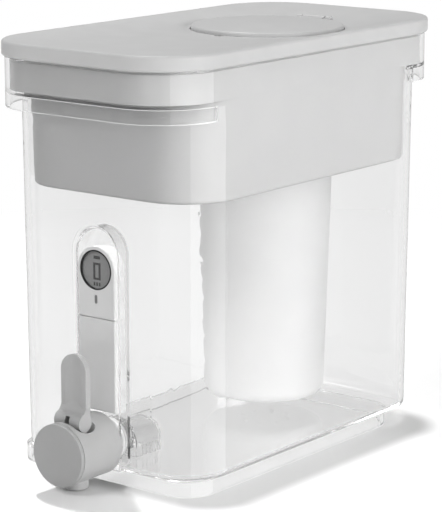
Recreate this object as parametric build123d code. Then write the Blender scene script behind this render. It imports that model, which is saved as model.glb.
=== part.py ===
from build123d import *
import math
import os

# Gravity water filter with tap: a clear tank, a reservoir nested in its top, a lid with a
# round fill door, a hanging bayonet filter, a barrel tap with a lever, and a meter column.
# Millimetres. X is across the tank, Y along it with the tap at -Y, and Z is up from the table.
# Everything is modelled about the middle of the lid and moved along Y once, on export.

# ---------------------------------------------------------------- tank
wall = 2.6                    # moulded wall of the tank
tank_width = 152.9            # outer width of the body, carried down to the table
tank_length = 255.7           # outer length of the body, carried down to the table
tank_corner = 34.0            # plan radius of the body's corners
tank_draft = 0.37             # degrees, the body widens upwards
foot_height = 9.0
foot_side_inset = 2.05        # foot ring in from the body's sides, front and rear at the table
foot_front_inset = 1.6
foot_rear_inset = 29.6
foot_corner = 21.0
foot_lip_round = 0.8
floor_round = 3.0             # bottom edge of the body
rear_round = 17.0             # bottom edge of the body at the rear
collar_top = 266.0
collar_height = 23.0          # collar over the underside of the shelf
collar_side_step = 1.75       # collar out from the body's sides and ends at the table
collar_end_step = 20.65
collar_corner = 41.0
collar_rim_round = 0.9
skirt_drop = 9.0              # grip skirt under the shelf, at both ends
skirt_reach = 106.0           # the skirt ends this far from the middle, along Y

# ---------------------------------------------------------------- niche in the front wall
niche_half = 15.8
niche_arch_z = 146.0          # centre of the arch
niche_depth = 10.6
niche_back_wall = 2.4
niche_side_wall = 2.0
niche_mouth_round = 3.2
niche_inner_round = 1.8
tool_overrun = 1.0            # how far a cutting form runs past what it cuts

# ---------------------------------------------------------------- reservoir
res_wall = 2.2
res_bottom = 182.7
res_side_gap = 0.33           # between the reservoir and the body's walls
res_end_gap = 2.68
res_corner = 35.6
res_rim_drop = 2.0            # the reservoir's rim under the collar's
res_gap = 0.4                 # between the reservoir's rim and the collar
res_floor_round = 2.0
socket_wall = 3.0
socket_ledge = 5.3            # height of the ledge that carries the filter's lugs
socket_rise = 15.3            # height of the socket over the reservoir's underside

# ---------------------------------------------------------------- lid and fill door
lid_end_step = 1.5            # lid out from the collar's ends and sides
lid_side_step = 2.1
lid_corner = 42.6
lid_height = 9.6
lid_skin = 2.4
lid_top_round = 1.8
lid_foot_chamfer = 0.8
lid_rim = 5.0                 # width of the solid rim on the collar
lid_locator_wall = 2.0
lid_locator_drop = 7.0
lid_locator_gap = 0.5
dish_inset = 4.0              # where the dish starts, in from the lid's edge
dish_depth = 5.5
dish_margin = 4.4             # round foot of the dish, out from the door's edge
door_y = 47.9
door_radius = 51.1
door_gap = 0.7
door_edge = 5.2               # height of the door's edge
door_crown = 1.6              # extra height of the door at its middle
door_crown_share = 0.75       # share of the crown that is reached half-way out
door_edge_round = 1.8
door_skin = 2.2
pour_ledge_width = 7.1        # ledge that the door rests on, in from its edge
pour_ledge = 1.6              # thickness of that ledge
pour_collar = 2.4             # wall of the round well that the door sits in
hinge_reach = 3.0             # hinge axis behind the door's edge
hinge_rise = 1.6              # hinge axis over the dish's foot
hinge_half = 9.0              # half-length of the door's knuckle
hinge_radius = 2.3
hinge_ear = 4.0               # length of each lid ear
door_pin_radius = 1.1
finger_notch = 4.0            # radius of the notch in the dish at the door's front
door_notch = 2.4              # radius of the notch in the door's edge

# ---------------------------------------------------------------- filter
filter_y = 46.2
filter_bottom = 21.4
filter_drop = 4.1             # housing's top edge under the reservoir
filter_top_radius = 43.9
filter_base_radius = 39.5     # outer radius at the reference height near the bottom
filter_base_z = 33.0
filter_wall = 1.8
filter_foot_round = 7.0
filter_rib_height = 7.0       # ribs on the floor that carry the outlet screen
filter_rib_thickness = 1.6
filter_rib_count = 8
outlet_hole = 2.0             # radius of each outlet hole
outlet_ring = 16.0            # radius of the ring of outlet holes
outlet_count = 8
screen_thickness = 1.2
screen_hole = 1.6             # radius of the holes in the inlet screen
screen_pitch = 6.0            # distance between its rings of holes
screen_spacing = 9.6          # distance between holes on a ring
resin_height = 62.0
foam_height = 8.0
bed_gap = 0.3                 # between a bed and the housing's wall
neck_radius = 32.7
neck_wall = 2.4
neck_rise = 13.2              # neck over the cap's flange
neck_bore = 27.0
cap_flange = 2.6
lug_reach = 2.5
lug_height = 3.7
lug_angle = 34.0              # degrees each lug spans
lug_gap_angle = 42.0          # degrees each gap in the ledge spans
lug_clearance = 0.3
seal_gap = 0.3
seal_width = 4.5

# ---------------------------------------------------------------- tap
tap_z = 25.2
barrel_radius = 20.1
barrel_wall = 2.7
tap_length = 37.92            # tap's front face ahead of the tank's front wall
cap_thickness = 3.05
cap_edge_round = 0.5
cap_plug_depth = 1.2
cap_plug_wall = 1.8
seam_gap = 0.15
neck_hub_gap = 1.8            # between the tap's hub and the niche's sides
gasket_thickness = 2.0
inner_gasket_thickness = 1.4
shank_radius = 9.5
shank_clearance = 0.4
thread_depth = 0.5
thread_pitch = 2.0
shank_inside = 9.93           # shank's length inside the tank
shank_nose = 5.0
shank_nose_radius = 6.2
water_bore = 4.8
nut_radius = 13.2
nut_length = 8.0
nut_ribs = 12
nut_rib_radius = 1.0
nut_clearance = 0.1
cup_half = 13.6
cup_arch_drop = 5.2           # centre of the cup's arch under the tap's axis
cup_wall = 1.6
cup_length = 26.0
cup_lift = 0.6                # cup's edge over the tank's floor
cup_round = 5.5
cup_slots = 4
cup_slot_width = 2.2
cup_slot_height = 7.0

spout_inset = 16.95           # spout's axis behind the tap's front face
spout_radius = 8.0
spout_bottom = 1.0
spout_bore = 5.0
spout_lip_round = 0.8
chamber_radius = 7.0
chamber_wall = 1.8
chamber_floor_drop = 15.6     # chamber's floor under the tap's axis
seat_rise = 1.4
seat_wall = 1.2
duct_wall = 1.8

# ---------------------------------------------------------------- lever and saddle
pivot_inset = 14.75           # pivot behind the tap's front face
pivot_rise = 19.5             # pivot over the tap's axis
knuckle_radius = 5.9
knuckle_half = 10.35
lever_back_reach = 5.2        # lever's back behind the pivot
lever_thickness = 4.3
lever_height = 42.0           # lever's top over the pivot
lever_dish = 1.0              # depth of the hollow in the thumb face
lever_dish_radius = 24.0
lever_edge_round = 0.5
lever_scoop_rise = 15.0       # height of the scoop between knuckle and plate
lever_scoop_reach = 4.0
lever_scoop_foot = 4.25       # foot of the scoop over the pivot
lever_scoop_bend = 0.88       # reach and rise of the scoop's middle point
lever_scoop_bend_rise = 3.1
lever_swing = 25.0            # degrees
saddle_radius = 8.6
saddle_half = 14.6
saddle_round = 5.0
saddle_wall = 1.8
ear_start = 7.3
ear_thickness = 1.8
ear_head = 3.9
ear_half = 2.6
ear_gap = 0.2
lever_pin_radius = 1.5
pin_clearance = 0.05
stem_slot = 1.85              # half-width of the knuckle's middle slot
stem_slot_rise = 3.8
hook_y = 6.0                  # lift point, behind the pivot
hook_z = -7.0                 # lift point, below the pivot
hook_start = 2.9
hook_thickness = 1.6
hook_wall = 1.0
hook_slack = 0.3
link_pin_radius = 1.0
link_pin_half = 5.0

# ---------------------------------------------------------------- valve
bonnet_rise = 6.4             # bonnet's underside over the tap's axis
bonnet_height = 3.6
bonnet_clearance = 0.05
stem_radius = 1.7
stem_fit = 0.06
stem_half = 1.5               # half-thickness of the stem's flat head
stem_head_height = 3.2
stem_head_tail = 1.8          # head behind the lift point
ring_section = 0.9            # radius of the stem seal's cord
seat_cup_radius = 6.4
seat_cup_height = 4.6
seat_cup_hub = 3.4            # radius of the cup's hub round the stem
spring_radius = 4.6
spring_wire = 0.45
spring_turns = 6.0
spring_seat_gap = 0.1

# ---------------------------------------------------------------- meter column
meter_side_gap = 0.8          # between the column and the niche's sides
meter_arch_z = 136.3
meter_foot_gap = 0.7          # between the column and the tap's barrel
meter_seam = 105.6
meter_seam_gap = 0.3
meter_rear_gap = 0.4          # between the column and the niche's back
meter_skin = 1.6
meter_side = 1.4
meter_back_plate = 1.4
meter_edge_round = 0.8
lcd_border = 2.3              # front skin round the display
bezel_wall = 0.9
bezel_proud = 0.1
bezel_depth = 1.3
window_thickness = 0.8
window_recess = 0.3
lcd_thickness = 1.5
lcd_margin = 0.7
board_gap = 1.0               # between the board and the shell's sides
board_drop = 13.6             # board's lower edge under the seam
board_rise = 9.7              # board's top over the display's middle
board_thickness = 1.2
board_back = 1.6              # board's rear face in front of the back plate
cell_radius = 5.8
cell_thickness = 5.2
cell_count = 2
cell_rise = 16.0              # lower cell over the column's foot
cell_pitch = 14.0
bay_margin = 2.5
screw_radius = 0.9
screw_grip = 4.5              # screw's length in its boss
screw_pilot = 5.0             # depth of the boss's hole
screw_head_radius = 1.9
screw_head_height = 1.0
screw_head_gap = 0.1
screw_slot_half = 0.3
screw_slot_depth = 0.4
screw_inset = 3.8             # screws in from the column's sides
screw_foot_rise = 6.0         # lowest screws over the column's foot
screw_seam_drop = 7.6         # screws under and over the seam
screw_seam_rise = 6.4
boss_wall = 1.0
boss_gap = 0.3                # between a boss and the board
key_half_width = 1.0
key_half_height = 2.75
key_drop = 18.7               # key's middle under the display's
key_gap = 0.15
key_recess = 0.2
key_flange = 0.8
key_flange_thickness = 0.8
key_travel = 0.6
key_pad_radius = 1.6
probe_z = 66.0
probe_pitch = 10.0
probe_radius = 1.2
probe_reach = 7.0
probe_head = 0.5
probe_gap = 0.1
probe_seal_radius = 2.8
probe_seal_lip = 1.0

# ---------------------------------------------------------------- worked-out places
draft = math.tan(math.radians(tank_draft))
floor_z = foot_height
floor_top = foot_height + wall
foot_width = tank_width - 2 * foot_side_inset
foot_length = tank_length - foot_front_inset - foot_rear_inset
foot_y = (foot_front_inset - foot_rear_inset) / 2
shelf_z = collar_top - collar_height
shelf_top = shelf_z + wall
collar_width = tank_width + 2 * collar_side_step
collar_length = tank_length + 2 * collar_end_step
front_face = -(tank_length / 2 + draft * meter_seam)
niche_back = front_face + niche_depth
niche_inside = niche_back + niche_back_wall
collar_inner_width = collar_width - 2 * wall
collar_inner_length = collar_length - 2 * wall
rim_width = collar_inner_width - 2 * res_gap
rim_length = collar_inner_length - 2 * res_gap
rim_corner = collar_corner - wall - res_gap
res_top = collar_top - res_rim_drop
filter_top = res_bottom - filter_drop
socket_radius = neck_radius + lug_reach + lug_clearance
ledge_radius = neck_radius + lug_clearance
ledge_top = res_bottom + socket_ledge
lid_width = collar_width + 2 * lid_side_step
lid_length = collar_length + 2 * lid_end_step
lid_top = collar_top + lid_height
dish_foot = lid_top - dish_depth
dish_radius = door_radius + dish_margin
pour_radius = door_radius - pour_ledge_width
door_seat = collar_top + pour_ledge
hinge_y = door_y + door_radius + hinge_reach
hinge_z = dish_foot + hinge_rise
cap_front = front_face - tap_length
barrel_front = cap_front + cap_thickness
barrel_bore = barrel_radius - barrel_wall
barrel_back_wall = front_face - barrel_wall
neck_hub_radius = niche_half - neck_hub_gap
hub_back = niche_back - gasket_thickness
nut_front = niche_inside + inner_gasket_thickness
shank_end = niche_inside + shank_inside
cup_arch_z = tap_z - cup_arch_drop
spout_y = cap_front + spout_inset
chamber_floor = tap_z - chamber_floor_drop
bonnet_bottom = tap_z + bonnet_rise
pivot_y = cap_front + pivot_inset
pivot_z = tap_z + pivot_rise
lever_back = pivot_y + lever_back_reach
lever_top = pivot_z + lever_height
meter_half = niche_half - meter_side_gap
meter_bottom = tap_z + barrel_radius + meter_foot_gap
meter_face = front_face
meter_rear = niche_back - meter_rear_gap
meter_back_front = meter_rear - meter_back_plate
lcd_radius = meter_half - lcd_border
key_z = meter_arch_z - key_drop
board_half = meter_half - meter_side - board_gap
board_bottom = meter_seam - board_drop
board_top = meter_arch_z + board_rise
board_rear = meter_back_front - board_back
cell_low_z = meter_bottom + cell_rise
screw_x = meter_half - screw_inset
screw_rows = (meter_bottom + screw_foot_rise, meter_seam - screw_seam_drop,
              meter_seam + screw_seam_rise)
tank_y = -(cap_front + lid_length / 2) / 2


# ---------------------------------------------------------------- shared shapes
def block(x0, x1, y0, y1, z0, z1):
    """Box between two corners."""
    return Pos((x0 + x1) / 2, (y0 + y1) / 2, (z0 + z1) / 2) * Box(x1 - x0, y1 - y0, z1 - z0)


def rod_z(radius, z0, z1, x=0.0, y=0.0):
    """Upright round bar."""
    return Pos(x, y, (z0 + z1) / 2) * Cylinder(radius, z1 - z0)


def rod_y(radius, y0, y1, x=0.0, z=0.0):
    """Round bar along the tank."""
    return Pos(x, (y0 + y1) / 2, z) * Rot(90, 0, 0) * Cylinder(radius, y1 - y0)


def rod_x(radius, x0, x1, y, z):
    """Round bar across the tank."""
    return Pos((x0 + x1) / 2, y, z) * Rot(0, 90, 0) * Cylinder(radius, x1 - x0)


def ring_z(outer, inner, z0, z1, y=0.0):
    """Upright tube."""
    return rod_z(outer, z0, z1, 0, y) - rod_z(inner, z0 - 1, z1 + 1, 0, y)


def ring_y(outer, inner, y0, y1, z):
    """Tube along the tank."""
    return rod_y(outer, y0, y1, 0, z) - rod_y(inner, y0 - 1, y1 + 1, 0, z)


def slab(width, length, corner, z0, z1, y=0.0):
    """Upright prism on a rounded rectangle."""
    return extrude(Pos(0, y, z0) * RectangleRounded(width, length, corner), z1 - z0)


def front_prism(sketch, y0, y1):
    """Prism along the tank on a sketch drawn as seen from the front, in X and Z."""
    return extrude(Pos(0, y1, 0) * (Plane.XZ * sketch), y1 - y0)


def side_prism(sketch, x0, x1):
    """Prism across the tank on a sketch drawn in Y and Z."""
    return extrude(Pos(x0, 0, 0) * (Plane.YZ * sketch), x1 - x0)


def arch(half, centre_z, bottom_z):
    """Upright slot with a round top, as a sketch."""
    height = centre_z + half - bottom_z
    legs = Pos(0, (centre_z + bottom_z) / 2) * Rectangle(2 * half, centre_z - bottom_z)
    whole = Pos(0, centre_z) * Circle(half) + legs
    return whole & (Pos(0, bottom_z + height / 2) * Rectangle(2 * half, height))


def pill(half_width, half_height, z):
    """Upright pill, as a sketch."""
    return Pos(0, z) * SlotOverall(2 * half_height, 2 * half_width, rotation=90)


def edges_at(shape, axis, place):
    """Edges whose middle lies at one place along an axis."""
    near = 0.01
    return shape.edges().filter_by_position(axis, place - near, place + near)


# ---------------------------------------------------------------- tank
def drafted(width, length, corner, inset, z0, z1):
    """Rounded prism that widens upwards; width and length are those at the table."""
    ends = []
    for z in (z0, z1):
        grow = 2 * (draft * z - inset)
        ends.append(Pos(0, 0, z) * RectangleRounded(width + grow, length + grow, corner - inset))
    return loft(ends)


def body_form(inset, z0, z1):
    """The body, or its hollow when inset by the wall, with a large radius at the rear bottom."""
    form = drafted(tank_width, tank_length, tank_corner, inset, z0, z1)
    form = fillet(edges_at(form, Axis.Z, z0), floor_round - inset / 2)
    centre_z = floor_z + rear_round
    centre_y = tank_length / 2 + draft * centre_z - rear_round
    reach = rear_round + wall
    corner = block(-tank_width, tank_width, centre_y, centre_y + reach, z0 - 1, centre_z)
    corner -= rod_x(rear_round - inset, -tank_width - 1, tank_width + 1, centre_y, centre_z)
    return form - corner


def niche_walls():
    """Walls of the niche on the tank's inner side, and the space that they enclose."""
    outer = arch(niche_half + niche_side_wall, niche_arch_z, floor_z)
    walls = front_prism(outer, front_face + wall / 2, niche_inside)
    walls = fillet(edges_at(walls, Axis.Y, niche_inside).filter_by_position(
        Axis.Z, floor_z + 1, collar_top), niche_inner_round)
    space = front_prism(arch(niche_half, niche_arch_z, floor_z - 1), front_face - wall, niche_back)
    return walls, space


def mouth_cut():
    """What a rounding tool takes from the niche's mouth: a flared arch less a torus sweep."""
    flare = niche_half + niche_mouth_round
    mouth = front_prism(arch(flare, niche_arch_z, floor_z - 1), front_face - wall,
                        front_face + niche_mouth_round)
    round_y = front_face + niche_mouth_round
    sides = Pos(0, round_y, niche_arch_z) * Rot(90, 0, 0) * Torus(flare, niche_mouth_round)
    sides = sides & block(-flare * 2, flare * 2, front_face - wall, round_y, niche_arch_z,
                          niche_arch_z + 2 * flare)
    for side in (-1, 1):
        sides += rod_z(niche_mouth_round, floor_z - 2, niche_arch_z, side * flare, round_y)
    return mouth - sides


def tank():
    """Clear vessel in one moulding."""
    shape = body_form(0, floor_z, shelf_top)
    shape += slab(collar_width, collar_length, collar_corner, shelf_z, collar_top)
    skirt = slab(collar_width, collar_length, collar_corner, shelf_z - skirt_drop, shelf_z)
    skirt -= slab(collar_inner_width, collar_inner_length, collar_corner - wall,
                  shelf_z - skirt_drop - 1, shelf_z + 1)
    skirt -= block(-collar_width, collar_width, -skirt_reach, skirt_reach, 0, collar_top)
    shape += skirt
    shape = fillet(edges_at(shape, Axis.Z, collar_top), collar_rim_round)
    shape -= slab(collar_inner_width, collar_inner_length, collar_corner - wall,
                  shelf_top, collar_top + 1)
    shape -= body_form(wall, floor_top, shelf_top + 1)
    foot = slab(foot_width, foot_length, foot_corner, 0, floor_z + wall / 2, foot_y)
    foot = fillet(edges_at(foot, Axis.Z, 0), foot_lip_round)
    foot -= slab(foot_width - 2 * wall, foot_length - 2 * wall, foot_corner - wall,
                 -1, floor_z, foot_y)
    shape += foot
    walls, space = niche_walls()
    shape = shape + walls - space - mouth_cut()
    shape -= rod_y(shank_radius + shank_clearance, niche_back - 1, niche_inside + 1, 0, tap_z)
    for side in (-1, 1):
        shape -= rod_y(probe_seal_radius - probe_seal_lip, niche_back - 1, niche_inside + 1,
                       side * probe_pitch / 2, probe_z)
    return shape


# ---------------------------------------------------------------- reservoir
def sector(radius, z0, z1, middle, spread):
    """Upright wedge about the filter's axis."""
    points = [(0, 0)]
    for turn in (-spread / 2, 0, spread / 2):
        angle = math.radians(middle + turn)
        points.append((2 * radius * math.cos(angle), 2 * radius * math.sin(angle)))
    wedge = extrude(Pos(0, filter_y, z0) * Polygon(*points, align=None), z1 - z0)
    return wedge & rod_z(radius, z0, z1, 0, filter_y)


def reservoir():
    """Opaque insert that hangs in the tank on its end ledges, with the filter's socket."""
    base_width = tank_width - 2 * (wall + res_side_gap)
    base_length = tank_length - 2 * (wall + res_end_gap)
    shape = drafted(base_width, base_length, res_corner, 0, res_bottom, shelf_top + res_wall)
    shape = fillet(edges_at(shape, Axis.Z, res_bottom), res_floor_round)
    shape += slab(rim_width, rim_length, rim_corner, shelf_top, res_top)
    inner_bottom = res_bottom + res_wall
    shape -= drafted(base_width, base_length, res_corner, res_wall, inner_bottom, res_top + 1)
    shape -= slab(rim_width - 2 * res_wall, rim_length - 2 * res_wall, rim_corner - res_wall,
                  shelf_top + res_wall, res_top + 1)
    socket_top = res_bottom + socket_rise
    shape += rod_z(socket_radius + socket_wall, res_bottom, socket_top, 0, filter_y)
    shape -= rod_z(socket_radius, ledge_top, socket_top + 1, 0, filter_y)
    shape -= rod_z(ledge_radius, res_bottom - 1, ledge_top + 1, 0, filter_y)
    for middle in (90, 270):
        shape -= sector(socket_radius, res_bottom - 1, ledge_top + 1, middle, lug_gap_angle)
    return shape


# ---------------------------------------------------------------- lid and fill door
def dish_form(drop):
    """Space over the lid's dished top, from the rim's rounded rectangle to the round foot."""
    width = lid_width - 2 * dish_inset
    length = lid_length - 2 * dish_inset
    corner = lid_corner - dish_inset
    side_x = width / 2
    end_y = length / 2
    straight_x = side_x - corner
    straight_y = end_y - corner
    turn = corner * math.sqrt(0.5)
    corners = ((1, 1), (-1, 1), (-1, -1), (1, -1))
    rim = []
    vertices = []
    for sx, sy in corners:
        first = (sx * side_x, sy * straight_y)
        last = (sx * straight_x, sy * end_y)
        if sx * sy < 0:
            first, last = last, first
        middle = (sx * (straight_x + turn), sy * (straight_y + turn))
        rim.append((first, middle, last))
    rim_edges = []
    foot_edges = []
    for index, (first, middle, last) in enumerate(rim):
        after = rim[(index + 1) % 4][0]
        rim_edges.append(ThreePointArc(first, middle, last))
        rim_edges.append(Line(last, after))
        vertices.append(first)
        vertices.append(last)
    angles = [math.atan2(y - door_y, x) for x, y in vertices]
    for index, start in enumerate(angles):
        end = angles[(index + 1) % 8]
        if end < start:
            end += 2 * math.pi
        arc = []
        for angle in (start, (start + end) / 2, end):
            arc.append((dish_radius * math.cos(angle), door_y + dish_radius * math.sin(angle)))
        foot_edges.append(ThreePointArc(*arc))
    rim_face = make_face(rim_edges)
    foot_face = make_face(foot_edges)
    low = Pos(0, 0, dish_foot - drop) * foot_face
    high = Pos(0, 0, lid_top - drop) * rim_face
    form = loft([low, high], ruled=True)
    return form + extrude(high, drop + 1)


def lid():
    """Slab lid: a dished skin, a rim on the collar, a locating wall, and the door's well."""
    shape = slab(lid_width, lid_length, lid_corner, collar_top, lid_top)
    shape = fillet(edges_at(shape, Axis.Z, lid_top), lid_top_round)
    shape = chamfer(edges_at(shape, Axis.Z, collar_top), lid_foot_chamfer)
    under = slab(lid_width - 2 * lid_rim, lid_length - 2 * lid_rim, lid_corner - lid_rim,
                 collar_top - 1, lid_top - lid_skin)
    shape -= under - dish_form(lid_skin)
    shape -= dish_form(0)
    located_width = rim_width - 2 * (res_wall + lid_locator_gap)
    located_length = rim_length - 2 * (res_wall + lid_locator_gap)
    located_corner = rim_corner - res_wall - lid_locator_gap
    locator = slab(located_width, located_length, located_corner,
                   collar_top - lid_locator_drop, lid_top - lid_skin)
    locator -= slab(located_width - 2 * lid_locator_wall, located_length - 2 * lid_locator_wall,
                    located_corner - lid_locator_wall, collar_top - lid_locator_drop - 1, lid_top)
    shape += locator - dish_form(0)
    well = door_radius + door_gap
    shape += rod_z(well + pour_collar, collar_top, dish_foot, 0, door_y)
    shape -= rod_z(well, door_seat, lid_top + 1, 0, door_y)
    shape -= rod_z(pour_radius, collar_top - 1, lid_top, 0, door_y)
    ear_start_x = hinge_half + door_gap
    ear_end_x = ear_start_x + hinge_ear
    pocket_y = hinge_y + hinge_radius + door_gap
    pocket = block(-ear_start_x, ear_start_x, door_y + door_radius - hinge_reach, pocket_y,
                   door_seat, lid_top + 1)
    floor = block(-ear_end_x, ear_end_x, door_y + door_radius - hinge_reach,
                  pocket_y + pour_collar, collar_top, dish_foot)
    shape += floor - rod_z(well, door_seat, lid_top, 0, door_y)
    for x0 in (-ear_end_x, ear_start_x):
        x1 = x0 + hinge_ear
        shape += rod_x(hinge_radius, x0, x1, hinge_y, hinge_z)
        shape += block(x0, x1, hinge_y - hinge_radius, hinge_y + hinge_radius, door_seat, hinge_z)
    shape -= pocket
    shape -= rod_x(door_pin_radius, -ear_end_x - 1, ear_end_x + 1, hinge_y, hinge_z)
    notch_y = door_y - door_radius - door_gap
    shape -= Pos(0, notch_y, dish_foot) * Sphere(finger_notch)
    return shape + block(-finger_notch, finger_notch, notch_y - finger_notch, notch_y,
                         collar_top, door_seat)


def fill_door():
    """Round door with a crowned top and a hinge knuckle at its rear edge."""
    top = door_seat + door_edge
    inner = door_radius - door_skin
    with BuildPart() as disc:
        with BuildSketch(Plane.XZ):
            with BuildLine():
                Line((0, door_seat), (door_radius, door_seat))
                Line((door_radius, door_seat), (door_radius, top))
                half_way = (door_radius / 2, top + door_crown_share * door_crown)
                ThreePointArc((door_radius, top), half_way, (0, top + door_crown))
                Line((0, top + door_crown), (0, door_seat))
            make_face()
        revolve(axis=Axis.Z)
    shape = disc.part
    shape = fillet(edges_at(shape, Axis.Z, top), door_edge_round)
    shape -= rod_z(inner, door_seat - 1, top - door_skin)
    rib = block(-door_skin / 2, door_skin / 2, -inner, inner, door_seat + door_skin, top)
    shape += rib & rod_z(inner, door_seat, top - door_skin / 2)
    shape = Pos(0, door_y, 0) * shape
    shape -= Pos(0, door_y - door_radius, door_seat) * Sphere(door_notch)
    arm = block(-hinge_half, hinge_half, door_y + inner - hinge_reach, hinge_y,
                door_seat + pour_ledge, hinge_z + hinge_radius / 2)
    arm -= rod_z(inner - hinge_reach / 2, 0, lid_top, 0, door_y)
    shape += arm
    shape += rod_x(hinge_radius, -hinge_half, hinge_half, hinge_y, hinge_z)
    return shape - rod_x(door_pin_radius + pin_clearance, -hinge_half - 1, hinge_half + 1,
                         hinge_y, hinge_z)


def door_pin():
    """Steel pin through the lid's ears and the door's knuckle."""
    half = hinge_half + door_gap + hinge_ear
    return rod_x(door_pin_radius, -half, half, hinge_y, hinge_z)


# ---------------------------------------------------------------- filter
def filter_radius(z):
    """Outer radius of the tapered housing at one height."""
    slope = (filter_top_radius - filter_base_radius) / (filter_top - filter_base_z)
    return filter_base_radius + slope * (z - filter_base_z)


def taper(inset, z0, z1):
    """Part of the housing's taper between two heights, inset from its outer skin."""
    low = filter_radius(z0) - inset
    high = filter_radius(z1) - inset
    return Pos(0, filter_y, (z0 + z1) / 2) * Cone(low, high, z1 - z0)


def filter_floor():
    """Top of the housing's floor."""
    return filter_bottom + filter_wall


def screen_z():
    """Underside of the outlet screen, on the ribs."""
    return filter_floor() + filter_rib_height


def filter_housing():
    """Tapered cup with a ribbed floor and a ring of outlet holes."""
    shape = taper(0, filter_bottom, filter_top)
    shape = fillet(edges_at(shape, Axis.Z, filter_bottom), filter_foot_round)
    hollow = taper(filter_wall, filter_floor(), filter_top + 1)
    hollow = fillet(edges_at(hollow, Axis.Z, filter_floor()), filter_foot_round - filter_wall)
    ribs = None
    for index in range(filter_rib_count // 2):
        rib = Box(2 * filter_base_radius, filter_rib_thickness, filter_rib_height)
        rib = Pos(0, filter_y, filter_floor() + filter_rib_height / 2) \
            * Rot(0, 0, index * 360 / filter_rib_count) * rib
        ribs = rib if ribs is None else ribs + rib
    shape -= hollow
    shape += ribs & hollow
    for index in range(outlet_count):
        angle = math.radians((index + 0.5) * 360 / outlet_count)
        x = outlet_ring * math.cos(angle)
        y = filter_y + outlet_ring * math.sin(angle)
        shape -= rod_z(outlet_hole, filter_bottom - 1, filter_floor() + 1, x, y)
    return shape


def bed(z0, height):
    """Full layer of the filter's filling."""
    return taper(filter_wall + bed_gap, z0, z0 + height)


def perforated(shape, z0, z1, reach):
    """A disc with rings of holes."""
    ring = screen_pitch
    while ring < reach:
        count = int(2 * math.pi * ring / screen_spacing)
        for index in range(count):
            angle = 2 * math.pi * index / count
            shape -= rod_z(screen_hole, z0 - 1, z1 + 1, ring * math.cos(angle),
                           filter_y + ring * math.sin(angle))
        ring += screen_pitch
    return shape


def filter_cap():
    """Inlet cap: flange on the housing, neck, and two bayonet lugs."""
    flange_top = filter_top + cap_flange
    neck_top = flange_top + neck_rise
    shape = rod_z(filter_top_radius, filter_top, flange_top, 0, filter_y)
    shape += rod_z(neck_radius, flange_top, neck_top, 0, filter_y)
    shape -= rod_z(neck_radius - neck_wall, flange_top, neck_top + 1, 0, filter_y)
    shape -= rod_z(neck_bore, filter_top - 1, flange_top + 1, 0, filter_y)
    lug_bottom = ledge_top + lug_clearance
    for middle in (0, 180):
        lug = sector(neck_radius + lug_reach, lug_bottom, lug_bottom + lug_height, middle,
                     lug_angle)
        shape += lug - rod_z(neck_radius - neck_wall / 2, 0, neck_top, 0, filter_y)
    return shape


def filter_layers():
    """Seal, screens and beds, from the top down."""
    flange_top = filter_top + cap_flange
    layers = {}
    seal_inner = ledge_radius
    seal_top = res_bottom - seal_gap
    layers["filter_seal"] = ring_z(seal_inner + seal_width, seal_inner, flange_top, seal_top,
                                   filter_y)
    inlet = rod_z(neck_radius - neck_wall - bed_gap, flange_top, flange_top + screen_thickness,
                  0, filter_y)
    layers["inlet_screen"] = perforated(inlet, flange_top, flange_top + screen_thickness,
                                        neck_bore)
    screen = screen_z()
    resin = screen + screen_thickness
    divider = resin + resin_height
    carbon = divider + screen_thickness
    foam = filter_top - foam_height
    layers["outlet_screen"] = bed(screen, screen_thickness)
    layers["resin_bed"] = bed(resin, resin_height)
    layers["bed_divider"] = bed(divider, screen_thickness)
    layers["carbon_bed"] = bed(carbon, foam - carbon)
    layers["distributor_foam"] = bed(foam, foam_height)
    return layers


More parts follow.
